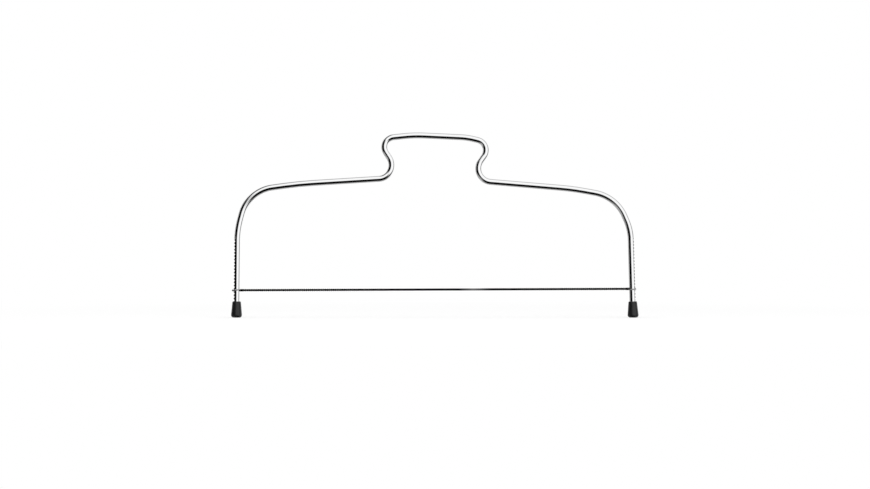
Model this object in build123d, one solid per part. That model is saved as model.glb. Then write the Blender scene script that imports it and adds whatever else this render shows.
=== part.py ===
"""Cake leveler: a bent rod frame on two rubber feet, with a twisted cutting wire between its legs.

The frame stands upright in the XZ plane with its feet on z = 0, and x = 0 is midway between
the legs. The front faces -Y. All sizes are in millimetres.
"""
import os
from math import asin, cos, radians, sin, tan

from build123d import *

os.makedirs("parts", exist_ok=True)

# Rod and legs; the legs splay a little, so each leans inward from its foot
rod_diameter = 5.0
leg_spacing = 321.1
left_leg_lean_degrees = 0.6
right_leg_lean_degrees = 1.6

# Left half of the rod's line, from the leg up to the crown of the hand grip.
# The rod is bent by hand on a jig, so its two halves differ by a few millimetres.
left_leg_length = 70.8
left_bend_inset = 9.4
left_bend_rise = 32.0
left_bend_radius = 29.6
left_knee_from_middle = 110.2
left_knee_rise = 5.6
left_neck_from_middle = 26.7
left_neck_rise = 5.2
left_neck_radius = 11.0
left_grip_from_middle = 46.5
left_grip_rise = 31.2
left_grip_radius = 8.1
left_crown_from_middle = 16.7
left_crown_rise = 3.1

# Right half of the rod's line
right_leg_length = 71.0
right_bend_inset = 13.7
right_bend_rise = 27.0
right_bend_radius = 32.5
right_knee_from_middle = 111.5
right_knee_rise = 6.4
right_neck_from_middle = 26.7
right_neck_rise = 7.1
right_neck_radius = 10.7
right_grip_from_middle = 47.0
right_grip_rise = 29.3
right_grip_radius = 8.6
right_crown_from_middle = 26.4
right_crown_rise = 5.1

# A slight bow takes this share of the shorter run beside it
bow_share = 0.28

# Rubber feet
foot_height = 13.1
foot_base_diameter = 9.2
foot_top_diameter = 6.8
foot_floor_thickness = 3.0
foot_base_rounding = 2.0
foot_top_rounding = 0.7
foot_bore_clearance = 0.03

# Notches on the outer side of both legs
notch_count = 19
notch_pitch = 2.64
notch_depth = 1.0
crest_rise = 0.2
crest_diameter = 4.0
lowest_notch_above_foot = 0.9
right_notch_offset = 1.2

# Cutting wire: two strands twisted together, opening into a loop round each leg
strand_diameter = 0.75
loop_clearance = 0.22
loop_slack = 0.25
loop_reach = 4.4
meeting_radius = 0.4
loop_dip = 0.5
rest_notch = 3
nose_length = 0.65
nose_base_diameter = 1.5
nose_tip_diameter = 0.5

# Places that follow from the sizes above
rod_radius = rod_diameter / 2
leg_x = leg_spacing / 2
strand_radius = strand_diameter / 2
pair_diameter = 2 * strand_diameter
left_notch_height = foot_height + lowest_notch_above_foot
right_notch_height = left_notch_height + right_notch_offset
wire_rise = rest_notch * notch_pitch
crest_reach = rod_radius + crest_rise
loop_outer_reach = crest_reach + loop_clearance + strand_radius
loop_radius = loop_outer_reach + loop_slack
meeting_reach = loop_reach - loop_slack
pair_start = meeting_reach - strand_radius
neck_length = 2 * pair_diameter


def leg_plane(side):
    """Plane at the foot of a leg: z runs up the leg and x points outward; side is -1 or 1."""
    lean = radians(left_leg_lean_degrees if side < 0 else right_leg_lean_degrees)
    outward = Vector(side * cos(lean), 0, sin(lean))
    up_the_leg = Vector(-side * sin(lean), 0, cos(lean))
    return Plane(origin=(side * leg_x, 0, 0), x_dir=outward, z_dir=up_the_leg)


def up_leg(side, height):
    """Point on the centre line of a leg, at a height measured along the leg."""
    return leg_plane(side).from_local_coords(Vector(0, 0, height))


def left_corners():
    """Corners of the rod's line from the left foot to the crown, each with its bend radius."""
    bend_height = left_leg_length + left_bend_rise
    knee_height = bend_height + left_knee_rise
    neck_height = knee_height + left_neck_rise
    grip_height = neck_height + left_grip_rise
    crown_height = grip_height + left_crown_rise
    return [
        (up_leg(-1, foot_floor_thickness), None),
        (up_leg(-1, left_leg_length), None),
        (Vector(left_bend_inset - leg_x, 0, bend_height), left_bend_radius),
        (Vector(-left_knee_from_middle, 0, knee_height), None),
        (Vector(-left_neck_from_middle, 0, neck_height), left_neck_radius),
        (Vector(-left_grip_from_middle, 0, grip_height), left_grip_radius),
        (Vector(-left_crown_from_middle, 0, crown_height), None),
    ]


def right_corners():
    """Corners of the rod's line from the right foot to the crown, each with its bend radius."""
    bend_height = right_leg_length + right_bend_rise
    knee_height = bend_height + right_knee_rise
    neck_height = knee_height + right_neck_rise
    grip_height = neck_height + right_grip_rise
    crown_height = grip_height + right_crown_rise
    return [
        (up_leg(1, foot_floor_thickness), None),
        (up_leg(1, right_leg_length), None),
        (Vector(leg_x - right_bend_inset, 0, bend_height), right_bend_radius),
        (Vector(right_knee_from_middle, 0, knee_height), None),
        (Vector(right_neck_from_middle, 0, neck_height), right_neck_radius),
        (Vector(right_grip_from_middle, 0, grip_height), right_grip_radius),
        (Vector(right_crown_from_middle, 0, crown_height), None),
    ]


def bow_radius(before, corner, after):
    """Radius of a slight bow, which takes its share of the shorter run beside the corner."""
    run_in = corner - before
    run_out = after - corner
    turn = radians(run_in.get_angle(run_out))
    return bow_share * min(run_in.length, run_out.length) / tan(turn / 2)


def rod_line():
    """The rod's centre line: straight runs joined by tangent arcs."""
    corners = left_corners() + right_corners()[::-1]
    points = [point for point, radius in corners]
    radii = []
    for place in range(1, len(corners) - 1):
        before, corner, after = points[place - 1:place + 2]
        stated = corners[place][1]
        radii.append(stated or bow_radius(before, corner, after))
    return FilletPolyline(*points, radius=radii)


def notch_cutter(first_height):
    """Comb of V shapes that cuts the notches of a leg, in the plane of that leg."""
    valley_reach = crest_reach - notch_depth
    half_pitch = notch_pitch / 2
    clear_reach = crest_reach + notch_depth
    edge = [(clear_reach, first_height - half_pitch), (crest_reach, first_height - half_pitch)]
    for notch in range(notch_count):
        height = first_height + notch * notch_pitch
        edge.append((valley_reach, height))
        edge.append((crest_reach, height + half_pitch))
    edge.append((clear_reach, edge[-1][1]))
    comb = Plane.XZ * make_face(Polyline(*edge, close=True))
    return extrude(comb, amount=rod_diameter, both=True)


def crest_ridge(first_height):
    """Metal raised beside the notches: a rounded ridge along the outer side of the leg."""
    length = (notch_count - 1) * notch_pitch
    crest_radius = crest_diameter / 2
    upright = Cylinder(crest_radius, length, align=(Align.CENTER, Align.CENTER, Align.MIN))
    return Pos(crest_reach - crest_radius, 0, first_height) * upright


def frame_rod():
    """The bent rod with its notched legs."""
    line = rod_line()
    section = Plane(origin=line @ 0, z_dir=line % 0) * Circle(rod_radius)
    rod = sweep(section, path=line)
    for side, first_height in ((-1, left_notch_height), (1, right_notch_height)):
        rod += leg_plane(side) * crest_ridge(first_height)
        rod -= leg_plane(side) * notch_cutter(first_height)
    return rod


def foot(side):
    """Tapered rubber cap with a blind bore for the end of the rod, cut level to stand on."""
    base_radius = foot_base_diameter / 2
    top_radius = foot_top_diameter / 2
    bore_radius = rod_radius + foot_bore_clearance
    spare_depth = foot_base_rounding
    taper = (base_radius - top_radius) / foot_height
    spare_radius = base_radius + taper * spare_depth
    outside = FilletPolyline(
        (spare_radius, -spare_depth),
        (top_radius, foot_height),
        (bore_radius, foot_height),
        radius=foot_top_rounding,
    )
    inside = Polyline(
        (bore_radius, foot_height),
        (bore_radius, foot_floor_thickness),
        (0, foot_floor_thickness),
        (0, -spare_depth),
        (spare_radius, -spare_depth),
    )
    half_section = Plane.XZ * make_face(outside + inside)
    cap = leg_plane(side) * revolve(half_section, Axis.Z)
    level_cap = split(cap, bisect_by=Plane.XY, keep=Keep.TOP)
    return fillet(level_cap.edges().group_by(Axis.Z)[0], radius=foot_base_rounding)


def loop_plane(side, notch_height):
    """Plane of one loop: centred in its eye, x towards the wire, low at the notch."""
    leg = leg_plane(side)
    outermost = leg.from_local_coords(Vector(loop_outer_reach, 0, notch_height))
    meeting = leg.from_local_coords(Vector(-loop_reach, 0, notch_height + loop_dip))
    inward = (meeting - outermost).normalized()
    upward = inward.cross(Vector(0, -side, 0))
    return Plane(origin=outermost + inward * loop_radius, x_dir=inward, z_dir=upward)


def mirrored(point):
    """The same place on the front strand of a loop."""
    return Vector(point.X, -point.Y)


def strand_loop(plane):
    """The two strands opened into one eye: an arc round the leg, a tight arc where they meet."""
    lean = asin((loop_radius - meeting_radius) / meeting_reach)
    leg_touch = loop_radius * Vector(sin(lean), cos(lean))
    meeting_touch = Vector(meeting_reach, 0) + meeting_radius * Vector(sin(lean), cos(lean))
    outermost = Vector(-loop_radius, 0)
    innermost = Vector(meeting_reach + meeting_radius, 0)
    round_leg = ThreePointArc(mirrored(leg_touch), outermost, leg_touch)
    back_strand = Line(leg_touch, meeting_touch)
    round_end = ThreePointArc(meeting_touch, innermost, mirrored(meeting_touch))
    front_strand = Line(mirrored(meeting_touch), mirrored(leg_touch))
    path = plane * Wire([round_leg, back_strand, round_end, front_strand])
    section = Plane(origin=path @ 0, z_dir=path % 0) * Circle(strand_radius)
    return sweep(section, path=path)


def wire_nose(plane):
    """Joined ends of the two strands, standing out of the left loop."""
    outward = Plane(origin=plane.from_local_coords((-loop_radius, 0, 0)), z_dir=-plane.x_dir)
    cone = Cone(
        nose_base_diameter / 2,
        nose_tip_diameter / 2,
        nose_length,
        align=(Align.CENTER, Align.CENTER, Align.MIN),
    )
    return outward * cone


def pair_rod(start, end):
    """Plain round rod as thick as the twisted pair, from one point to another."""
    run = end - start
    return Plane(origin=start, z_dir=run) * Cylinder(
        pair_diameter / 2,
        run.length,
        align=(Align.CENTER, Align.CENTER, Align.MIN),
    )


def wire_pieces():
    """The cutting stretch and its two loops: one wire, divided a few strands past each loop."""
    left_plane = loop_plane(-1, left_notch_height + wire_rise)
    right_plane = loop_plane(1, right_notch_height + wire_rise)
    left_tip = left_plane.from_local_coords((pair_start, 0, 0))
    right_tip = right_plane.from_local_coords((pair_start, 0, 0))
    along = (right_tip - left_tip).normalized()
    left_neck = left_tip + neck_length * along
    right_neck = right_tip - neck_length * along
    left_loop = strand_loop(left_plane) + pair_rod(left_tip, left_neck)
    return {
        "cutting_wire": pair_rod(left_neck, right_neck),
        "left_wire_loop": left_loop + wire_nose(left_plane),
        "right_wire_loop": strand_loop(right_plane) + pair_rod(right_neck, right_tip),
    }


nodes = {
    "frame_rod": frame_rod(),
    "left_foot": foot(-1),
    "right_foot": foot(1),
} | wire_pieces()

for name, shape in nodes.items():
    export_step(shape, f"parts/{name}.step")
    box = shape.bounding_box()
    print(name, "solids", len(shape.solids()), "volume", round(shape.volume, 1), "box", box.min, box.max)
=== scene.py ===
"""Cake leveler: the finished looks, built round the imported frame.

Lengths are in metres. X runs from the left foot to the right foot, Z is up and the front
faces -Y, as in the frame. Names with "left" and "right" are as the front shows them.
"""
from math import acos, atan2, cos, pi, radians, sin, sqrt, tan

import bmesh
import bpy
from bpy.props import FloatProperty, FloatVectorProperty, IntProperty, PointerProperty
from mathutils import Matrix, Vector


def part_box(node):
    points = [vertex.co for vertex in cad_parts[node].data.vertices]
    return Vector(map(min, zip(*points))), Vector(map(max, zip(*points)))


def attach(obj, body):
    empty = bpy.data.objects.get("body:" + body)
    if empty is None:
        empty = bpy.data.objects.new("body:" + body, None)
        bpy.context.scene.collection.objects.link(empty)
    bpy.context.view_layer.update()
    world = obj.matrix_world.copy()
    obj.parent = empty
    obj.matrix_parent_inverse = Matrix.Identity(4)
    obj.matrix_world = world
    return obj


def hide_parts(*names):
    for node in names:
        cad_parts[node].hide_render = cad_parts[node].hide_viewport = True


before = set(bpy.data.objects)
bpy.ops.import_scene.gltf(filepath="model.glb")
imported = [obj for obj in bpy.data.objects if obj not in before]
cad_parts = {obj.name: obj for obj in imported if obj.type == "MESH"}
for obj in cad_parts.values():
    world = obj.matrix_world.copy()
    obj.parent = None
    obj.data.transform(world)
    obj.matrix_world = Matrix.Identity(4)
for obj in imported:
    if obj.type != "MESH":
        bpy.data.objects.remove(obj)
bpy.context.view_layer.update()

# Box of the rod, before any piece is made
rod_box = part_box("frame_rod")

bl_info = {
    "name": "Cake Leveler",
    "version": (1, 0, 0),
    "blender": (4, 5, 0),
    "location": "3D View > Sidebar > Cake Leveler",
    "description": "Makes the chromed rod, rubber feet, twisted wire and studio of a cake leveler",
    "category": "Add Mesh",
}

MM = 0.001
FRONT_TO_BACK = Vector((0, 1, 0))
WHITE = (1.0, 1.0, 1.0)
STRAIGHT = 1e-5  # a smaller turn, in radians, counts as none

# The rod's line, as in the frame: each half runs from its foot up to the crown of the grip
LEFT_HALF = {
    "side": -1,
    "leg_lean": radians(0.6),
    "leg_length": 70.8 * MM,
    "bend_inset": 9.4 * MM,
    "bend_rise": 32.0 * MM,
    "bend_radius": 29.6 * MM,
    "knee_from_middle": 110.2 * MM,
    "knee_rise": 5.6 * MM,
    "neck_from_middle": 26.7 * MM,
    "neck_rise": 5.2 * MM,
    "neck_radius": 11.0 * MM,
    "grip_from_middle": 46.5 * MM,
    "grip_rise": 31.2 * MM,
    "grip_radius": 8.1 * MM,
    "crown_from_middle": 16.7 * MM,
    "crown_rise": 3.1 * MM,
}
RIGHT_HALF = {
    "side": 1,
    "leg_lean": radians(1.6),
    "leg_length": 71.0 * MM,
    "bend_inset": 13.7 * MM,
    "bend_rise": 27.0 * MM,
    "bend_radius": 32.5 * MM,
    "knee_from_middle": 111.5 * MM,
    "knee_rise": 6.4 * MM,
    "neck_from_middle": 26.7 * MM,
    "neck_rise": 7.1 * MM,
    "neck_radius": 10.7 * MM,
    "grip_from_middle": 47.0 * MM,
    "grip_rise": 29.3 * MM,
    "grip_radius": 8.6 * MM,
    "crown_from_middle": 26.4 * MM,
    "crown_rise": 5.1 * MM,
}
LEG_X = 160.55 * MM  # from the middle of the tool to each leg at the table
BOW_SHARE = 0.28  # of its shorter run, which a slight bow takes up on each side
FOOT_FLOOR = 3.0 * MM  # rubber under the end of the rod
FOOT_HEIGHT = 13.1 * MM
CAMERA_X = 0.13 * MM  # from the middle of the tool to the middle of the photograph

# Notches
LOWEST_NOTCH = {-1: 14.0 * MM, 1: 15.2 * MM}  # height along the left and the right leg
REST_NOTCH = 3  # the wire's, counted up from the lowest
NARROWEST_NOTCH = radians(3)  # from the outer side of the rod to a notch's edge
WIDEST_NOTCH = radians(47)
VALLEY_ROUNDING = 0.1  # of a slope's length
EDGE_ROUNDING = 0.05 * MM

# Wire
LOOP_CLEARANCE = 0.22 * MM  # from the crests to the round of the loop
LOOP_SLACK = 0.25 * MM  # from the leg's middle to the middle of that round
LOOP_DIP = 0.2 * MM  # by which the loop sinks from the twist to the notch
SEAT_GAP = 0.84 * MM  # from the bottom of a notch to the middle of the strand in it
SIDE_GAP = 0.175 * MM  # between the sides of the rod and the strands
PARTING_RADIUS = 0.9 * MM  # of the bends where the strands part
SEAT_RADIUS = 1.8 * MM  # of the bends on both sides of the notch
TWIST_END = 0.5 * MM  # from the place where the strands meet to the twist
TWIST_EASE = 1.0 * MM  # over which the twist sets in
STRAND_SPACING = 0.985  # of a strand's thickness, so that no light shows between the two
# The loops are painted bright where they wrap the legs: a painted reflection of the light they
# catch there
PAINTED_SHINE_REACH = 1.8 * MM  # from the leg's middle to where the bright loop begins to darken
PAINTED_SHINE_FADE = 1.2 * MM  # over which it darkens
PAINTED_GLINT_MIDDLE = 32.0 * MM  # of the painted glint, a lighter stretch of the wire right of the tool's middle
PAINTED_GLINT_REACH = 12.5 * MM  # from there to each of its ends
BRIGHTEST_PAINTED_GLINT = 0.8  # of the loops' painted brightness, at the middle of the painted glint

# Dark panels of the tent that the chrome reflects: azimuth to the right of the front, elevation,
# full and outer angular radius in degrees, and depth of the shade
DARK_PANELS = (
    (0, -32, 14, 30, 0.95),
    (4, -60, 14, 46, 0.85),
    (62, -50, 8, 34, 0.7),
    (84, -32, 4, 28, 0.4),
    (-80, 14, 20, 42, 0.95),
    (-42, -2, 15, 33, 0.9),
    (-16, -17, 8, 22, 0.9),
    (-69, -43, 22, 50, 0.3),
    (-82, 50, 10, 38, 0.55),
    (95, 0, 6, 34, 0.3),
)
SIDE_SHADE = 0.3  # of the tent beside, above and below the tool
SCREEN_CURVE = 2.2  # from a shade as it looks on the screen to its light


# Sizes and colours that a user would change


class RodSettings(bpy.types.PropertyGroup):
    """Sizes and finish of the bent rod and its notches."""

    diameter: FloatProperty(
        name="Rod diameter",
        description="Thickness of the round rod",
        default=rod_box[1].y - rod_box[0].y,
        unit="LENGTH",
    )
    notch_count: IntProperty(name="Notches", description="Notches on each leg", default=19)
    notch_pitch: FloatProperty(
        name="Notch pitch",
        description="Height from one notch to the next",
        default=2.64 * MM,
        unit="LENGTH",
    )
    notch_depth: FloatProperty(
        name="Notch depth",
        description="Depth of a notch below its crests",
        default=1.0 * MM,
        unit="LENGTH",
    )
    crest_rise: FloatProperty(
        name="Crest rise",
        description="How far the pressed metal stands out of the round rod",
        default=0.2 * MM,
        unit="LENGTH",
    )
    crest_diameter: FloatProperty(
        name="Crest diameter",
        description="Roundness of the metal raised beside the notches",
        default=4.0 * MM,
        unit="LENGTH",
    )
    plate_colour: FloatVectorProperty(
        name="Chrome",
        description="Colour of the clean plating",
        subtype="COLOR",
        default=(0.955, 0.957, 0.96),
    )
    dull_colour: FloatVectorProperty(
        name="Dull chrome",
        description="Colour of the plating in the notches, where the press and the wire dull it",
        subtype="COLOR",
        default=(0.5, 0.51, 0.53),
    )


class FootSettings(bpy.types.PropertyGroup):
    """Sizes and finish of the rubber feet."""

    base_diameter: FloatProperty(
        name="Base diameter",
        description="Width of the foot at the floor before its edge is rounded",
        default=9.2 * MM,
        unit="LENGTH",
    )
    top_diameter: FloatProperty(
        name="Top diameter",
        description="Width of the foot at its mouth before its edge is rounded",
        default=6.8 * MM,
        unit="LENGTH",
    )
    base_rounding: FloatProperty(
        name="Base rounding",
        description="Radius of the edge that stands on the table",
        default=2.0 * MM,
        unit="LENGTH",
    )
    top_rounding: FloatProperty(
        name="Mouth rounding",
        description="Radius of the edge round the rod",
        default=0.82 * MM,
        unit="LENGTH",
    )
    rubber_colour: FloatVectorProperty(
        name="Rubber",
        description="Colour of the moulded rubber",
        subtype="COLOR",
        default=(0.008, 0.008, 0.0085),
    )
    scuff_colour: FloatVectorProperty(
        name="Scuffed rubber",
        description="Colour of the rubber where it rubs on the table",
        subtype="COLOR",
        default=(0.05, 0.05, 0.05),
    )


class WireSettings(bpy.types.PropertyGroup):
    """Sizes and finish of the twisted cutting wire."""

    strand_diameter: FloatProperty(
        name="Strand diameter",
        description="Thickness of one strand",
        default=1.0 * MM,
        unit="LENGTH",
    )
    lay: FloatProperty(
        name="Lay",
        description="Length of one full turn of the twist",
        default=3.1 * MM,
        unit="LENGTH",
    )
    loop_reach: FloatProperty(
        name="Loop reach",
        description="From the middle of the leg to the place where the strands meet",
        default=4.4 * MM,
        unit="LENGTH",
    )
    span_colour: FloatVectorProperty(
        name="Dark steel",
        description="Colour of the cutting stretch",
        subtype="COLOR",
        default=(0.003, 0.003, 0.0033),
    )
    edge_colour: FloatVectorProperty(
        name="Edge shine",
        description="Colour of the shine at the edges of a strand",
        subtype="COLOR",
        default=(0.1, 0.1, 0.1),
    )
    # Painted reflection: the loops get this bright colour where they wrap the legs, for the light
    # they catch there
    loop_colour: FloatVectorProperty(
        name="Rubbed steel",
        description="Colour of the loops, rubbed bright on the notches",
        subtype="COLOR",
        default=(0.75, 0.75, 0.76),
    )
    bead_colour: FloatVectorProperty(
        name="Bead",
        description="Colour of the bead that joins the strand ends",
        subtype="COLOR",
        default=(0.03, 0.03, 0.032),
    )


class StudioSettings(bpy.types.PropertyGroup):
    """The camera and the lights."""

    lens: FloatProperty(
        name="Lens",
        description="Focal length in millimetres",
        default=100.0,
        unit="CAMERA",
    )
    picture_width: FloatProperty(
        name="Picture width",
        description="Width of the picture where the tool stands",
        default=0.7043,
        unit="LENGTH",
    )
    picture_height_middle: FloatProperty(
        name="Picture middle",
        description="Height of the middle of the picture over the table",
        default=0.0591,
        unit="LENGTH",
    )
    floor_colour: FloatVectorProperty(
        name="Table",
        description="Colour of the table",
        subtype="COLOR",
        default=(0.97, 0.97, 0.97),
    )
    room_light: FloatProperty(
        name="Room light",
        description="Strength of the light from all round",
        default=0.72,
        subtype="FACTOR",
    )


# Materials


class Signal:
    """A changing value in a material: arithmetic on it adds the Math nodes."""

    def __init__(self, recipe, socket):
        self.recipe = recipe
        self.socket = socket

    def math(self, operation, first, second=0.0):
        return self.recipe.add("ShaderNodeMath", {"operation": operation}, {0: first, 1: second})

    def __add__(self, other):
        return self.math("ADD", self, other)

    def __radd__(self, other):
        return self.math("ADD", other, self)

    def __sub__(self, other):
        return self.math("SUBTRACT", self, other)

    def __rsub__(self, other):
        return self.math("SUBTRACT", other, self)

    def __mul__(self, other):
        return self.math("MULTIPLY", self, other)

    def __rmul__(self, other):
        return self.math("MULTIPLY", other, self)

    def __pow__(self, other):
        return self.math("POWER", self, other)

    def __rpow__(self, other):
        return self.math("POWER", other, self)

    def __abs__(self):
        return self.math("ABSOLUTE", self)

    def at_most(self, other):
        return self.math("MINIMUM", self, other)

    def ramp(self, low, high):
        """Smoothly 0 below low and 1 above high."""
        settings = {"interpolation_type": "SMOOTHSTEP"}
        return self.recipe.add("ShaderNodeMapRange", settings, {0: self, 1: low, 2: high})


class Recipe:
    """The node tree of one material or of the world, written as expressions."""

    def __init__(self, tree):
        self.tree = tree
        tree.nodes.clear()

    def add(self, kind, settings, sockets, output=0):
        """A node: its settings first, then the values or links of its sockets. Gives one output."""
        node = self.tree.nodes.new(kind)
        for name, value in settings.items():
            setattr(node, name, value)
        for name, value in sockets.items():
            if isinstance(value, Signal):
                self.tree.links.new(value.socket, node.inputs[name])
            else:
                node.inputs[name].default_value = value
        return Signal(self, node.outputs[output]) if len(node.outputs) else None

    def attribute(self, name, output="Vector"):
        return self.add("ShaderNodeAttribute", {"attribute_name": name}, {}, output)

    def scaled(self, vector, scale):
        """The vector, multiplied along each axis by its own factor."""
        return self.add("ShaderNodeVectorMath", {"operation": "MULTIPLY"}, {0: vector, 1: scale})

    def unit(self, vector):
        """The vector at length 1."""
        return self.add("ShaderNodeVectorMath", {"operation": "NORMALIZE"}, {0: vector})

    def dot(self, vector, direction):
        """How far the vector goes along a fixed direction."""
        sockets = {0: vector, 1: tuple(direction)}
        return self.add("ShaderNodeVectorMath", {"operation": "DOT_PRODUCT"}, sockets, "Value")

    def axis(self, vector, letter):
        """One coordinate of a vector."""
        return self.add("ShaderNodeSeparateXYZ", {}, {0: vector}, letter)

    def noise(self, place, clouds, detail):
        """Cloudy values about 0.5, with so many clouds to a metre along each axis of the place."""
        sockets = {"Vector": self.scaled(place, clouds), "Scale": 1.0, "Detail": detail}
        return self.add("ShaderNodeTexNoise", {}, sockets)

    def blend(self, factor, first, second):
        """The first colour where the factor is 0 and the second where it is 1."""
        sockets = {0: factor, 6: opaque(first), 7: opaque(second)}
        return self.add("ShaderNodeMix", {"data_type": "RGBA"}, sockets, 2)

    def bump(self, height, depth, strength=1.0):
        """A normal that shows the height as relief of that depth in metres."""
        sockets = {"Height": height, "Distance": depth, "Strength": strength}
        return self.add("ShaderNodeBump", {}, sockets)

    def surface(self, shader):
        self.add("ShaderNodeOutputMaterial", {}, {"Surface": shader})


def opaque(colour):
    """A colour with its alpha, where it is a plain one."""
    return colour if isinstance(colour, Signal) else (*colour, 1.0)


def new_material(name):
    """A material with an empty tree, and the recipe that fills it."""
    material = bpy.data.materials.new(name)
    material.use_nodes = True
    return material, Recipe(material.node_tree)


def glossy_share(recipe):
    """1 where the camera, a reflection or a refraction looks, and 0 for soft light."""
    paths = [
        recipe.add("ShaderNodeLightPath", {}, {}, name)
        for name in ("Is Camera Ray", "Is Glossy Ray", "Is Transmission Ray")
    ]
    return (paths[0] + paths[1] + paths[2]).at_most(1.0)


def chrome_material(settings):
    """Bright plating on a drawn rod: faint lines along it, dulled in the notches."""
    material, recipe = new_material("chrome_plating")
    place = recipe.attribute("rod_place")
    pressed = recipe.attribute("pressed_depth", "Fac")
    lines = recipe.noise(place, (70, 9000, 9000), detail=3.0)
    haze = recipe.noise(place, (55, 300, 300), detail=3.0)
    ripple = recipe.noise(place, (900, 900, 900), detail=1.0)
    dull = (pressed * 0.8 + haze.ramp(0.55, 0.85) * 0.12).at_most(1.0)
    shader = recipe.add(
        "ShaderNodeBsdfPrincipled",
        {},
        {
            "Base Color": recipe.blend(dull, settings.plate_colour, settings.dull_colour),
            "Metallic": 1.0,
            "Roughness": 0.03 + lines * 0.05 + haze * 0.03 + pressed * 0.12,
            "Normal": recipe.bump(lines * 0.5 + ripple, 0.0012 * MM),
        },
    )
    recipe.surface(shader)
    return material


def rubber_material(settings):
    """Satin moulded rubber with a fine grain, scuffed grey towards the sole."""
    material, recipe = new_material("moulded_rubber")
    place = recipe.attribute("foot_place")
    grain = recipe.noise(place, (5200, 5200, 5200), detail=3.0)
    cloud = recipe.noise(place, (520, 520, 520), detail=3.0)
    low = 1 - recipe.axis(place, "Z").ramp(0.2 * MM, 2.2 * MM)
    scuff = (low * cloud.ramp(0.35, 0.75) * 0.25 + cloud.ramp(0.62, 0.8) * 0.12).at_most(1.0)
    shader = recipe.add(
        "ShaderNodeBsdfPrincipled",
        {},
        {
            "Base Color": recipe.blend(scuff, settings.rubber_colour, settings.scuff_colour),
            "Specular IOR Level": 0.5,
            "Roughness": 0.28 + grain * 0.12 + scuff * 0.25,
            "Normal": recipe.bump(grain + cloud, 0.02 * MM, 0.6),
        },
    )
    recipe.surface(shader)
    return material


def strand_material(settings):
    """Drawn steel strand: dark, with a painted reflection that brightens the loops and a painted
    glint that lightens one stretch between.
    """
    material, recipe = new_material("drawn_steel_strand")
    place = recipe.attribute("strand_place")
    painted_shine = recipe.attribute("painted_shine", "Fac")
    lines = recipe.noise(place, (300, 14000, 14000), detail=2.0)
    stain = recipe.noise(place, (160, 900, 900), detail=3.0)
    # Painted reflection at the loops and painted glint in one stretch, with a little stain all
    # along
    bright = (painted_shine * (0.6 + stain * 0.5) + stain.ramp(0.5, 0.75) * 0.02).at_most(1.0)
    shader = recipe.add(
        "ShaderNodeBsdfPrincipled",
        {},
        {
            "Base Color": recipe.blend(bright, settings.span_colour, settings.loop_colour),
            "Metallic": 1.0,
            "Specular Tint": opaque(settings.edge_colour),
            "Roughness": 0.3 + lines * 0.15 + stain * 0.15,
            "Normal": recipe.bump(lines, 0.003 * MM),
        },
    )
    recipe.surface(shader)
    return material


def bead_material(settings):
    """Joining metal, run and cooled: grey, uneven and a little dull."""
    material, recipe = new_material("joining_bead")
    place = recipe.attribute("bead_place")
    cloud = recipe.noise(place, (2200, 2200, 2200), detail=3.0)
    pale = tuple(channel * 2.2 for channel in settings.bead_colour)
    shader = recipe.add(
        "ShaderNodeBsdfPrincipled",
        {},
        {
            "Base Color": recipe.blend(cloud.ramp(0.4, 0.7), settings.bead_colour, pale),
            "Metallic": 1.0,
            "Roughness": 0.28 + cloud * 0.25,
            "Normal": recipe.bump(cloud, 0.03 * MM, 0.5),
        },
    )
    recipe.surface(shader)
    return material


# The rod's line and the shapes that follow a line


def leg_frame(half):
    """Origin of a leg at its foot, with the directions outward and up the leg."""
    side = half["side"]
    lean = half["leg_lean"]
    origin = Vector((side * LEG_X, 0, 0))
    outward = Vector((side * cos(lean), 0, sin(lean)))
    up = Vector((-side * sin(lean), 0, cos(lean)))
    return origin, outward, up


def up_leg(half, height):
    """Point on the middle line of a leg, at a height along the leg."""
    origin, _, up = leg_frame(half)
    return origin + height * up


def half_corners(half):
    """Corners of the rod's line from one foot to the crown, each with its bend radius or None."""
    side = half["side"]
    bend_z = half["leg_length"] + half["bend_rise"]
    knee_z = bend_z + half["knee_rise"]
    neck_z = knee_z + half["neck_rise"]
    grip_z = neck_z + half["grip_rise"]
    crown_z = grip_z + half["crown_rise"]
    return [
        (up_leg(half, FOOT_FLOOR), None),
        (up_leg(half, half["leg_length"]), None),
        (Vector((side * (LEG_X - half["bend_inset"]), 0, bend_z)), half["bend_radius"]),
        (Vector((side * half["knee_from_middle"], 0, knee_z)), None),
        (Vector((side * half["neck_from_middle"], 0, neck_z)), half["neck_radius"]),
        (Vector((side * half["grip_from_middle"], 0, grip_z)), half["grip_radius"]),
        (Vector((side * half["crown_from_middle"], 0, crown_z)), None),
    ]


def rounded_line(corners, turn_step):
    """Points and directions along straight runs joined by tangent arcs.

    Each corner is a point and a radius; without a radius it is a slight bow.
    """
    line = []
    for place, (corner, radius) in enumerate(corners):
        if place in (0, len(corners) - 1):
            other = corners[1][0] if place == 0 else corners[-2][0]
            run = other - corner if place == 0 else corner - other
            line.append((corner, run.normalized()))
            continue
        run_in = corner - corners[place - 1][0]
        run_out = corners[place + 1][0] - corner
        turn = run_in.angle(run_out)
        into = run_in.normalized()
        if turn < STRAIGHT:
            line.append((corner, into))
            continue
        shorter = min(run_in.length, run_out.length)
        bend = radius or BOW_SHARE * shorter / tan(turn / 2)
        inward = (run_out.normalized() - into * cos(turn)).normalized()
        start = corner - bend * tan(turn / 2) * into
        steps = max(2, round(turn / turn_step))
        for step in range(steps + 1):
            angle = turn * step / steps
            point = start + bend * (sin(angle) * into + (1 - cos(angle)) * inward)
            line.append((point, cos(angle) * into + sin(angle) * inward))
    return line


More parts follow.
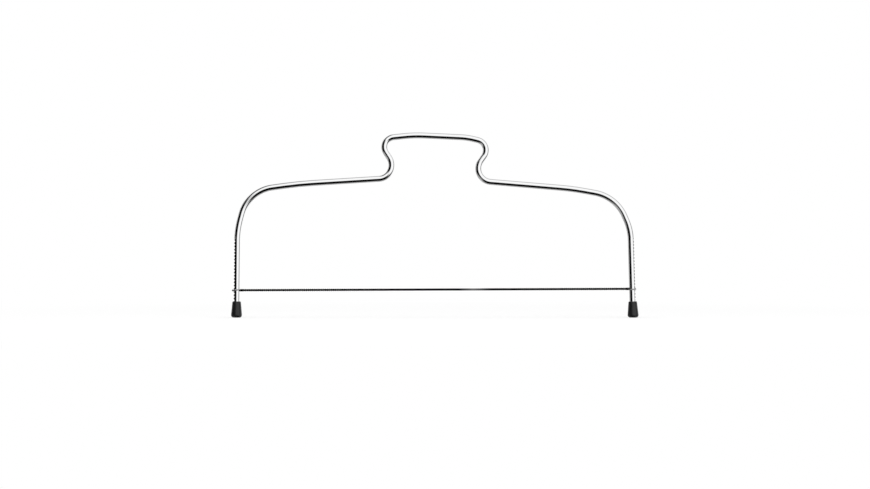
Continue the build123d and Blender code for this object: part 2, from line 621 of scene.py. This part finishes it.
def spaced(line, longest):
    """The line with extra points on its straight runs, none further apart than that."""
    filled = [line[0]]
    for point, direction in line[1:]:
        before, before_direction = filled[-1]
        parts = int((point - before).length // longest) + 1
        straight = before_direction.angle(direction) < STRAIGHT
        for part in range(1, parts if straight else 1):
            filled.append((before.lerp(point, part / parts), direction))
        filled.append((point, direction))
    return filled


def turn_outward(mesh):
    """Turns the faces of a closed mesh outward, whichever way its rings run."""
    shell = bmesh.new()
    shell.from_mesh(mesh)
    inside_out = shell.calc_volume(signed=True) < 0
    shell.free()
    if inside_out:
        mesh.flip_normals()


def ring_mesh(name, rings, places=None, other=None):
    """Mesh of quads between rings of points, closed at both ends.

    places and other are each an attribute's name and its values, one for each point: its place
    in the straightened piece, and a number.
    """
    around = len(rings[0])
    points = [point for ring in rings for point in ring]
    faces = []
    for ring in range(len(rings) - 1):
        for corner in range(around):
            following = (corner + 1) % around
            low = ring * around
            high = low + around
            faces.append((low + corner, low + following, high + following, high + corner))
    last = (len(rings) - 1) * around
    faces.append(tuple(reversed(range(around))))
    faces.append(tuple(range(last, last + around)))
    mesh = bpy.data.meshes.new(name)
    mesh.from_pydata(points, [], faces)
    turn_outward(mesh)
    mesh.shade_smooth()
    if places:
        attribute_name, values = places
        attribute = mesh.attributes.new(attribute_name, "FLOAT_VECTOR", "POINT")
        attribute.data.foreach_set("vector", [number for value in values for number in value])
    if other:
        attribute_name, values = other
        attribute = mesh.attributes.new(attribute_name, "FLOAT", "POINT")
        attribute.data.foreach_set("value", values)
    mesh.validate()
    piece = bpy.data.objects.new(name, mesh)
    bpy.context.scene.collection.objects.link(piece)
    return piece


def finish_piece(piece, material, body, slot, *replaced):
    """Gives a piece its material and its body, and hides the nodes that it stands for. The slot is
    not used.
    """
    piece.data.materials.append(material)
    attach(piece, body)
    if replaced:
        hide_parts(*replaced)


# Bent rod


def ring_angles(edge):
    """Angles round the rod from its outer side: across a notch, past its edge, round the back.

    edge is the angle to the notch's edge. The steps are finer as far as the angle near.
    """
    near = radians(70)
    across_steps = 22
    near_steps = 8
    back_steps = 28
    angles = [-edge + 2 * edge * step / across_steps for step in range(across_steps)]
    angles += [edge + (near - edge) * step / near_steps for step in range(near_steps)]
    angles += [near + 2 * (pi - near) * step / back_steps for step in range(back_steps)]
    return angles + [-near + (near - edge) * step / near_steps for step in range(near_steps)]


def soft_min(first, second, rounding):
    """The smaller of two lengths, with the change from one to the other rounded."""
    gap = first - second
    return (first + second - sqrt(gap * gap + rounding * rounding)) / 2


class NotchedLeg:
    """Outline of the rod along one leg."""

    def __init__(self, settings, side):
        self.rod_radius = settings.diameter / 2
        self.crest_radius = settings.crest_diameter / 2
        self.crest_reach = self.rod_radius + settings.crest_rise
        self.depth = settings.notch_depth
        self.pitch = settings.notch_pitch
        self.first = LOWEST_NOTCH[side]
        self.last = self.first + (settings.notch_count - 1) * self.pitch

    def heights(self):
        """Heights from the rod's end up its notches, closer together at valleys and crests."""
        shares = (0, 0.05, 0.1, 0.17, 0.25, 0.35, 0.46, 0.57, 0.68, 0.78, 0.86, 0.92, 0.97)
        half = self.pitch / 2
        heights = []
        valley = self.first
        while valley < self.last + half:
            heights += [valley - share * half for share in reversed(shares[1:])]
            heights += [valley + share * half for share in shares]
            valley += self.pitch
        return [FOOT_FLOOR, self.first - self.pitch] + heights + [self.last + self.pitch]

    def reach(self, height):
        """How far out the metal stands at a height, before the rod's own roundness."""
        half = self.pitch / 2
        if not self.first - half < height < self.last + half:
            return 2 * self.crest_reach
        from_valley = abs((height - self.first + half) % self.pitch - half) / half
        rounded = sqrt(from_valley**2 + VALLEY_ROUNDING**2) - VALLEY_ROUNDING * (1 - from_valley)
        return self.crest_reach - self.depth * (1 - min(1.0, rounded))

    def edge_angle(self, height):
        """Angle from the outer side to the edge where a notch runs out into the round rod."""
        reach = self.reach(height)
        if reach > self.crest_reach:
            return WIDEST_NOTCH
        shift = self.crest_reach - self.crest_radius
        ridge = self.crest_radius**2 - (reach - shift) ** 2
        rod = max(0.0, self.rod_radius**2 - reach**2)
        return max(NARROWEST_NOTCH, atan2(sqrt(max(ridge, rod)), reach))

    def radius(self, angle, height):
        """Distance from the rod's middle to its surface, and the depth pressed away there."""
        shift = self.crest_reach - self.crest_radius
        inside = self.crest_radius**2 - (shift * sin(angle)) ** 2
        ridge = shift * cos(angle) + sqrt(inside)
        from_ends = min(height - self.first, self.last - height) + self.pitch / 2
        share = max(0.0, min(1.0, from_ends / (self.pitch / 2)))
        full = self.rod_radius + share * max(0.0, ridge - self.rod_radius)
        # No notch reaches round to the sides of the rod
        if cos(angle) < 0.1:
            return full, 0.0
        cut = self.reach(height) / cos(angle)
        left = soft_min(full, cut, EDGE_ROUNDING)
        return left, max(0.0, full - left) / self.depth


def rod_stations(settings):
    """Stations along the rod: point, direction and the leg with the height there, if notched."""
    left = NotchedLeg(settings, -1)
    right = NotchedLeg(settings, 1)
    corners = half_corners(LEFT_HALF) + half_corners(RIGHT_HALF)[::-1]
    line = spaced(rounded_line(corners, turn_step=radians(2)), longest=4 * MM)
    top_of_notches = max(left.last, right.last) + left.pitch
    bent = [(point, direction, None, 0.0) for point, direction in line if point.z > top_of_notches]
    up_left = leg_frame(LEFT_HALF)[2]
    up_right = leg_frame(RIGHT_HALF)[2]
    left_leg = [(up_leg(LEFT_HALF, h), up_left, left, h) for h in left.heights()]
    right_leg = [(up_leg(RIGHT_HALF, h), -up_right, right, h) for h in right.heights()]
    return left_leg + bent + right_leg[::-1]


def make_rod(settings):
    """The bent rod with its notched legs."""
    radius = settings.diameter / 2
    rings = []
    places = []
    pressed = []
    travelled = 0.0
    before = None
    for point, direction, leg, height in rod_stations(settings):
        travelled += (point - before).length if before else 0.0
        before = point
        outward = Vector((-direction.z, 0, direction.x))
        ring = []
        for angle in ring_angles(leg.edge_angle(height) if leg else WIDEST_NOTCH):
            reach, depth = leg.radius(angle, height) if leg else (radius, 0.0)
            across = reach * cos(angle)
            back = reach * sin(angle)
            ring.append(point + across * outward + back * FRONT_TO_BACK)
            places.append((travelled, across, back))
            pressed.append(depth)
        rings.append(ring)
    return ring_mesh("bent_rod", rings, ("rod_place", places), ("pressed_depth", pressed))


# Rubber feet


def arc_points(middle, radius, start, end, steps):
    """Points of an arc, as (distance from the axis, height) pairs."""
    points = []
    for step in range(steps + 1):
        angle = start + (end - start) * step / steps
        points.append((middle[0] + radius * cos(angle), middle[1] + radius * sin(angle)))
    return points


def foot_profile(settings, bore_radius):
    """Outline of a foot from the middle of its sole, round its outside and into its mouth."""
    base = settings.base_diameter / 2
    top = settings.top_diameter / 2
    slope = atan2(base - top, FOOT_HEIGHT)
    rounding = settings.base_rounding
    sole_tangent = rounding * tan((pi / 2 + slope) / 2)
    sole_middle = (base - sole_tangent, rounding)
    lip = settings.top_rounding
    lip_tangent = lip * tan((pi / 2 - slope) / 2)
    lip_middle = (top - lip_tangent, FOOT_HEIGHT - lip)
    sole_edge = sole_middle[0]
    # The innermost ring is almost a point, and the mesh closes it
    profile = [(0.02 * MM, 0.0)]
    profile += [(sole_edge * share, 0.0) for share in (0.3, 0.6, 0.85)]
    profile += arc_points(sole_middle, rounding, -pi / 2, slope, 12)
    side_start = profile[-1]
    side_end = (lip_middle[0] + lip * cos(slope), lip_middle[1] + lip * sin(slope))
    for share in (0.2, 0.4, 0.6, 0.8):
        along = (
            side_start[0] + share * (side_end[0] - side_start[0]),
            side_start[1] + share * (side_end[1] - side_start[1]),
        )
        profile.append(along)
    profile += arc_points(lip_middle, lip, slope, pi / 2, 10)
    # Into the mouth: gap round the rod, and depth below the top
    for gap, depth in ((0.05, 0.01), (0.0, 0.08), (0.0, 1.5)):
        profile.append((bore_radius + gap * MM, FOOT_HEIGHT - depth * MM))
    return profile


def make_foot(settings, half, name, bore_radius):
    """One tapered rubber cap, cut level so that it stands flat under its leaning leg.

    A shallow groove, the mould's seam, runs up its left and its right side.
    """
    origin, outward, up = leg_frame(half)
    around = 72
    seam_depth = 0.035 * MM
    seam_reach = radians(5)
    rings = []
    places = []
    for distance, height in foot_profile(settings, bore_radius):
        ring = []
        # The seam ends short of the sole and of the mouth
        has_seam = distance > bore_radius + 0.3 * MM and height > 0.5 * MM
        for step in range(around):
            angle = 2 * pi * step / around
            off_seam = abs((angle + pi / 2) % pi - pi / 2)
            seam = seam_depth * max(0.0, 1 - off_seam / seam_reach) if has_seam else 0.0
            across = (distance - seam) * cos(angle)
            back = (distance - seam) * sin(angle)
            # The leaning cap is cut level at its sole, and the slant fades out above it
            level = across * sin(half["leg_lean"])
            low = max(0.0, 1 - height / settings.base_rounding)
            lift = height - low * level
            ring.append(origin + across * outward + back * FRONT_TO_BACK + lift * up)
            places.append((across, back, height))
        rings.append(ring)
    return ring_mesh(name, rings, ("foot_place", places))


# Cutting wire


class LegLoop:
    """Place of the loop round one leg: its origin is on the leg's middle, in the rest notch."""

    def __init__(self, half, rod, wire):
        side = half["side"]
        origin, outward, up = leg_frame(half)
        height = LOWEST_NOTCH[side] + REST_NOTCH * rod.notch_pitch
        crest_reach = rod.diameter / 2 + rod.crest_rise
        outer_reach = crest_reach + LOOP_CLEARANCE + wire.strand_diameter / 2
        outermost = origin + outer_reach * outward + height * up
        meeting = origin - wire.loop_reach * outward + (height + LOOP_DIP) * up
        self.inward = (meeting - outermost).normalized()
        self.up = self.inward.cross(Vector((0, -side, 0)))
        self.origin = outermost + outer_reach * self.inward
        self.eye_radius = outer_reach + LOOP_SLACK
        self.side_reach = rod.diameter / 2 + wire.strand_diameter / 2 + SIDE_GAP
        self.seat_reach = crest_reach - rod.notch_depth + SEAT_GAP
        self.reach = wire.loop_reach

    def point(self, inward, back, up=0.0):
        """Point from its distances towards the wire, to the back and up."""
        return self.origin + inward * self.inward + back * FRONT_TO_BACK + up * self.up

    def half_route(self, back, level):
        """Corners from the end of the twist, round one side of the leg, to the notch.

        back is -1 for the side in front of the leg and 1 for the side behind it. level is the
        height of this strand over or under the middle of the twist.
        """
        reach = self.reach - LOOP_SLACK
        side = self.side_reach
        touch = acos(self.eye_radius / reach)
        side_corner = LOOP_SLACK + (self.eye_radius - side * sin(touch)) / cos(touch)
        return [
            (self.point(self.reach + TWIST_END, 0, level), None),
            (self.point(self.reach, 0, level), PARTING_RADIUS),
            (self.point(side_corner, back * side, level), side),
            (self.point(-self.seat_reach, back * side, level / 2), SEAT_RADIUS),
            (self.point(-self.seat_reach, 0), None),
        ]

    def painted_shine(self, point):
        """How bright the strand is painted, as a painted reflection: 1 against the leg and 0 along
        the cutting stretch.
        """
        share = ((point - self.origin).dot(self.inward) - PAINTED_SHINE_REACH) / PAINTED_SHINE_FADE
        return max(0.0, min(1.0, 1 - share))


def twist_angles(length, lay):
    """Angle of the twist at even steps; it eases in and out over whole half turns."""
    steps_to_turn = 18
    steps = round(length / (lay / steps_to_turn))
    rates = []
    for step in range(steps):
        along = (step + 0.5) * length / steps
        from_end = min(1.0, min(along, length - along) / TWIST_EASE)
        rates.append(from_end * from_end * (3 - 2 * from_end))
    turns = 2 * pi * length / steps * sum(rates) / lay
    scale = round(turns / pi) * pi / sum(rates)
    angles = [0.0]
    for rate in rates:
        angles.append(angles[-1] + rate * scale)
    return angles


def twist_points(start, end, wire):
    """The two strands of the twist, from one loop to the other, and how bright each step is
    painted, as a painted glint.
    """
    span = end - start
    along = span.normalized()
    up = along.cross(FRONT_TO_BACK).normalized()
    apart = wire.strand_diameter / 2 * STRAND_SPACING
    angles = twist_angles(span.length, wire.lay)
    first = []
    second = []
    painted_shine = []
    for step, angle in enumerate(angles):
        share = step / (len(angles) - 1)
        offset = apart * (sin(angle) * FRONT_TO_BACK + cos(angle) * up)
        middle = start + share * span
        first.append(middle + offset)
        second.append(middle - offset)
        # Painted glint: the wire is painted lighter over one stretch, as a highlight
        nearness = max(0.0, 1 - abs(middle.x - PAINTED_GLINT_MIDDLE) / PAINTED_GLINT_REACH)
        painted_shine.append(BRIGHTEST_PAINTED_GLINT * nearness)
    return first, second, painted_shine


def backwards(part, left_out=0):
    """A stretch of strand and its painted shine values from end to start, without its last points.
    """
    points, values = part
    last = len(points) - left_out
    return points[:last][::-1], values[:last][::-1]


def strand_tube(name, points, painted_shine, radius):
    """A round strand along points, with its frame carried on from point to point."""
    around = 12
    rings = []
    places = []
    values = []
    travelled = 0.0
    normal = None
    for index, point in enumerate(points):
        following = points[min(index + 1, len(points) - 1)]
        before = points[max(index - 1, 0)]
        direction = (following - before).normalized()
        if normal is None:
            normal = direction.orthogonal().normalized()
        normal = (normal - normal.dot(direction) * direction).normalized()
        across = direction.cross(normal)
        travelled += (point - before).length
        ring = []
        for step in range(around):
            angle = 2 * pi * step / around
            x = radius * cos(angle)
            y = radius * sin(angle)
            ring.append(point + x * normal + y * across)
            places.append((travelled, x, y))
            values.append(painted_shine[index])
        rings.append(ring)
    return ring_mesh(name, rings, ("strand_place", places), ("painted_shine", values))


def make_strands(rod, wire):
    """The whole wire: out from the left notch, round the right leg and back, twisted on itself."""
    left = LegLoop(LEFT_HALF, rod, wire)
    right = LegLoop(RIGHT_HALF, rod, wire)
    level = wire.strand_diameter / 2 * STRAND_SPACING
    # On top where the twist ends: the strand in front of the left leg, the one behind the right
    sides = {}
    for name, loop, upper_side in (("left", left, -1), ("right", right, 1)):
        for back in (-1, 1):
            corners = loop.half_route(back, level * back * upper_side)
            rounded = spaced(rounded_line(corners, turn_step=radians(5)), longest=0.25 * MM)
            route = [point for point, _ in rounded][1:]
            sides[name, back] = (route, [loop.painted_shine(point) for point in route])
    start = left.point(left.reach + TWIST_END, 0)
    end = right.point(right.reach + TWIST_END, 0)
    first, second, painted_shine = twist_points(start, end, wire)
    upper = 1 if first[-1].z > end.z else -1
    parts = [
        backwards(sides["left", -1]),
        (first, painted_shine),
        sides["right", upper],
        backwards(sides["right", -upper], 1),
        backwards((second, painted_shine)),
        sides["left", 1],
    ]
    points = [point for part, _ in parts for point in part]
    values = [value for _, part in parts for value in part]
    return strand_tube("twisted_wire", points, values, wire.strand_diameter / 2)


def make_bead(rod, wire):
    """The bead that joins the two strand ends outside the left leg, drawn out to a blunt tip."""
    loop = LegLoop(LEFT_HALF, rod, wire)
    # Distance outward from the strand, and radius, in millimetres
    profile = [(-0.2, 0.1), (-0.15, 0.35), (0.0, 0.56), (0.2, 0.72), (0.4, 0.8), (0.6, 0.8)]
    profile += [(0.8, 0.72), (1.0, 0.6), (1.2, 0.45), (1.33, 0.32), (1.42, 0.2), (1.45, 0.08)]
    around = 24
    rings = []
    places = []
    for outward, radius in profile:
        ring = []
        for step in range(around):
            angle = 2 * pi * step / around
            # Three and five shallow lumps round the bead, which wind along it
            lump = 1 + 0.05 * sin(3 * angle + 2.1 * outward) + 0.03 * sin(5 * angle - 4 * outward)
            back = radius * lump * cos(angle) * MM
            up = radius * lump * sin(angle) * MM
            across = loop.seat_reach + outward * MM
            ring.append(loop.point(-across, back, up))
            places.append((across, back, up))
        rings.append(ring)
    return ring_mesh("joining_bead", rings, ("bead_place", places))


# Studio


def direction_to(azimuth, elevation):
    """Direction from its turn to the right of the front and its rise, both in degrees."""
    turn = radians(azimuth)
    rise = radians(elevation)
    return Vector((sin(turn) * cos(rise), -cos(turn) * cos(rise), sin(rise)))


def tent_shade(recipe, outlook):
    """White with soft dark panels in front, which fade at the sides and come again behind.

    outlook is the direction from the tool to a place of the tent.
    """
    depth = recipe.axis(outlook, "Y")
    upright = recipe.scaled(outlook, (1, 0, 1))
    # Each panel shows in front and, mirrored, behind
    white = 1.0
    for azimuth, elevation, core, edge, darkness in DARK_PANELS:
        towards = direction_to(azimuth, elevation)
        facing = recipe.dot(upright, towards) - abs(depth) * towards.y
        panel = facing.ramp(cos(radians(edge)), cos(radians(core)))
        white = (1 - panel * darkness) * white
    shown = 1 - depth.ramp(0.1, 0.4) + depth.ramp(0.5, 0.85)
    side = 1 - (-1 * depth).ramp(0.1, 0.35) - depth.ramp(0.1, 0.6)
    return (1 - (1 - white) * shown) * (1 - side * SIDE_SHADE)


def make_tent():
    """The white tent with its soft dark panels: reflections see it, the camera doesn't."""
    radius = 4.0
    around = 48
    rows = 24
    pole_gap = 0.02
    middle = Vector((0, 0, 0.07))
    rings = []
    for row in range(rows + 1):
        rise = -90 + 180 * (row + pole_gap) / (rows + 2 * pole_gap)
        turns = [360 * step / around for step in range(around)]
        rings.append([middle + radius * direction_to(turn, rise) for turn in turns])
    tent = ring_mesh("tent", rings)
    material, recipe = new_material("tent_cloth")
    outlook = recipe.unit(recipe.add("ShaderNodeTexCoord", {}, {}, "Object"))
    light = tent_shade(recipe, outlook) ** SCREEN_CURVE
    glow = recipe.add("ShaderNodeEmission", {}, {"Color": opaque(WHITE), "Strength": light})
    recipe.surface(glow)
    tent.data.materials.append(material)
    tent.visible_camera = False
    tent.visible_diffuse = False
    tent.visible_shadow = False


def soft_lamp(name, place, target, size, power):
    """A square soft lamp that faces a target."""
    data = bpy.data.lights.new(name, "AREA")
    data.size = size
    data.energy = power
    lamp = bpy.data.objects.new(name, data)
    lamp.location = place
    aim = Vector(target) - Vector(place)
    lamp.rotation_euler = aim.to_track_quat("-Z", "Y").to_euler()
    bpy.context.scene.collection.objects.link(lamp)
    lamp.visible_glossy = False


def make_table(settings):
    """The pale table: half paint and half white light near the tool, all white further out.

    It lies just under the feet, so that the two don't share a surface.
    """
    size = 12.0
    below = -0.05 * MM
    corners = [(x * size, y * size, below) for x, y in ((-1, -1), (1, -1), (1, 1), (-1, 1))]
    mesh = bpy.data.meshes.new("table")
    mesh.from_pydata(corners, [], [(0, 1, 2, 3)])
    table = bpy.data.objects.new("table", mesh)
    bpy.context.scene.collection.objects.link(table)
    material, recipe = new_material("table_paint")
    place = recipe.add("ShaderNodeTexCoord", {}, {}, "Object")
    across = recipe.axis(place, "X")
    along = recipe.axis(place, "Y")
    distance = (across * across + along * along) ** 0.5
    white = distance.ramp(0.15, 0.6) * 0.5 + 0.5
    paint = recipe.add("ShaderNodeBsdfDiffuse", {}, {"Color": opaque(settings.floor_colour)})
    glow = recipe.add("ShaderNodeEmission", {}, {"Color": opaque(WHITE), "Strength": 1.0})
    seen = glossy_share(recipe)
    recipe.surface(recipe.add("ShaderNodeMixShader", {}, {0: white * seen, 1: paint, 2: glow}))
    mesh.materials.append(material)
    table.visible_glossy = False


def make_room(settings):
    """White all round: full strength where it is seen or reflected, less as soft light."""
    world = bpy.data.worlds.new("white_room")
    bpy.context.scene.world = world
    world.use_nodes = True
    recipe = Recipe(world.node_tree)
    strength = settings.room_light + (1 - settings.room_light) * glossy_share(recipe)
    light = recipe.add("ShaderNodeBackground", {}, {"Color": opaque(WHITE), "Strength": strength})
    recipe.add("ShaderNodeOutputWorld", {}, {"Surface": light})


def make_camera(settings):
    """The camera looks level and straight at the front of the tool."""
    data = bpy.data.cameras.new("camera")
    data.lens = settings.lens
    data.sensor_width = 36.0
    data.clip_end = 50.0
    camera = bpy.data.objects.new("camera", data)
    distance = settings.picture_width * settings.lens / data.sensor_width
    camera.location = (CAMERA_X, -distance, settings.picture_height_middle)
    camera.rotation_euler = (pi / 2, 0, 0)
    bpy.context.scene.collection.objects.link(camera)
    bpy.context.scene.camera = camera


# Operators, panel and registration


class LEVELER_OT_rod(bpy.types.Operator):
    """Makes the bent, notched and chromed rod"""

    bl_idname = "leveler.rod"
    bl_label = "Bent rod"

    def execute(self, context):
        rod = context.scene.leveler_rod
        finish_piece(make_rod(rod), chrome_material(rod), "frame", "chromed_rod", "frame_rod")
        return {"FINISHED"}


class LEVELER_OT_feet(bpy.types.Operator):
    """Makes the two rubber feet"""

    bl_idname = "leveler.feet"
    bl_label = "Rubber feet"

    def execute(self, context):
        foot = context.scene.leveler_foot
        bore_radius = context.scene.leveler_rod.diameter / 2
        material = rubber_material(foot)
        for half, name, node in (
            (LEFT_HALF, "left_rubber_foot", "left_foot"),
            (RIGHT_HALF, "right_rubber_foot", "right_foot"),
        ):
            piece = make_foot(foot, half, name, bore_radius)
            finish_piece(piece, material, "frame", "foot_rubber", node)
        return {"FINISHED"}


class LEVELER_OT_wire(bpy.types.Operator):
    """Makes the twisted cutting wire with its two loops and its bead"""

    bl_idname = "leveler.wire"
    bl_label = "Cutting wire"

    def execute(self, context):
        rod = context.scene.leveler_rod
        wire = context.scene.leveler_wire
        nodes = ("cutting_wire", "left_wire_loop", "right_wire_loop")
        finish_piece(make_strands(rod, wire), strand_material(wire), "wire", "wire_steel", *nodes)
        finish_piece(make_bead(rod, wire), bead_material(wire), "wire", "wire_steel")
        return {"FINISHED"}


class LEVELER_OT_studio(bpy.types.Operator):
    """Makes the table, the white room, the tent, the lamps and the camera"""

    bl_idname = "leveler.studio"
    bl_label = "Studio"

    def execute(self, context):
        studio = context.scene.leveler_studio
        context.scene.view_settings.view_transform = "Standard"
        make_table(studio)
        make_room(studio)
        make_tent()
        soft_lamp("right_softbox", place=(1.0, -1.3, 0.8), target=(0, 0, 0.07), size=0.8, power=6.0)
        soft_lamp("top_softbox", place=(-0.2, -0.2, 1.4), target=(0, 0, 0), size=1.0, power=6.0)
        make_camera(studio)
        return {"FINISHED"}


class LEVELER_PT_sidebar(bpy.types.Panel):
    """Sizes, colours and the steps that make the cake leveler"""

    bl_idname = "LEVELER_PT_sidebar"
    bl_label = "Cake Leveler"
    bl_space_type = "VIEW_3D"
    bl_region_type = "UI"
    bl_category = "Cake Leveler"

    def draw(self, context):
        for operator, settings, _ in STEPS:
            box = self.layout.box()
            box.operator(operator.bl_idname)
            group = getattr(context.scene, settings)
            for name in group.bl_rna.properties.keys():
                if name not in ("rna_type", "name"):
                    box.prop(group, name)


STEPS = (
    (LEVELER_OT_rod, "leveler_rod", RodSettings),
    (LEVELER_OT_feet, "leveler_foot", FootSettings),
    (LEVELER_OT_wire, "leveler_wire", WireSettings),
    (LEVELER_OT_studio, "leveler_studio", StudioSettings),
)


def register():
    for operator, settings, group in STEPS:
        bpy.utils.register_class(group)
        setattr(bpy.types.Scene, settings, PointerProperty(type=group))
        bpy.utils.register_class(operator)
    bpy.utils.register_class(LEVELER_PT_sidebar)


def unregister():
    bpy.utils.unregister_class(LEVELER_PT_sidebar)
    for operator, settings, group in reversed(STEPS):
        bpy.utils.unregister_class(operator)
        delattr(bpy.types.Scene, settings)
        bpy.utils.unregister_class(group)


def main():
    """Makes every piece and the studio."""
    register()
    bpy.ops.leveler.rod()
    bpy.ops.leveler.feet()
    bpy.ops.leveler.wire()
    bpy.ops.leveler.studio()


if __name__ == "__main__":
    main()
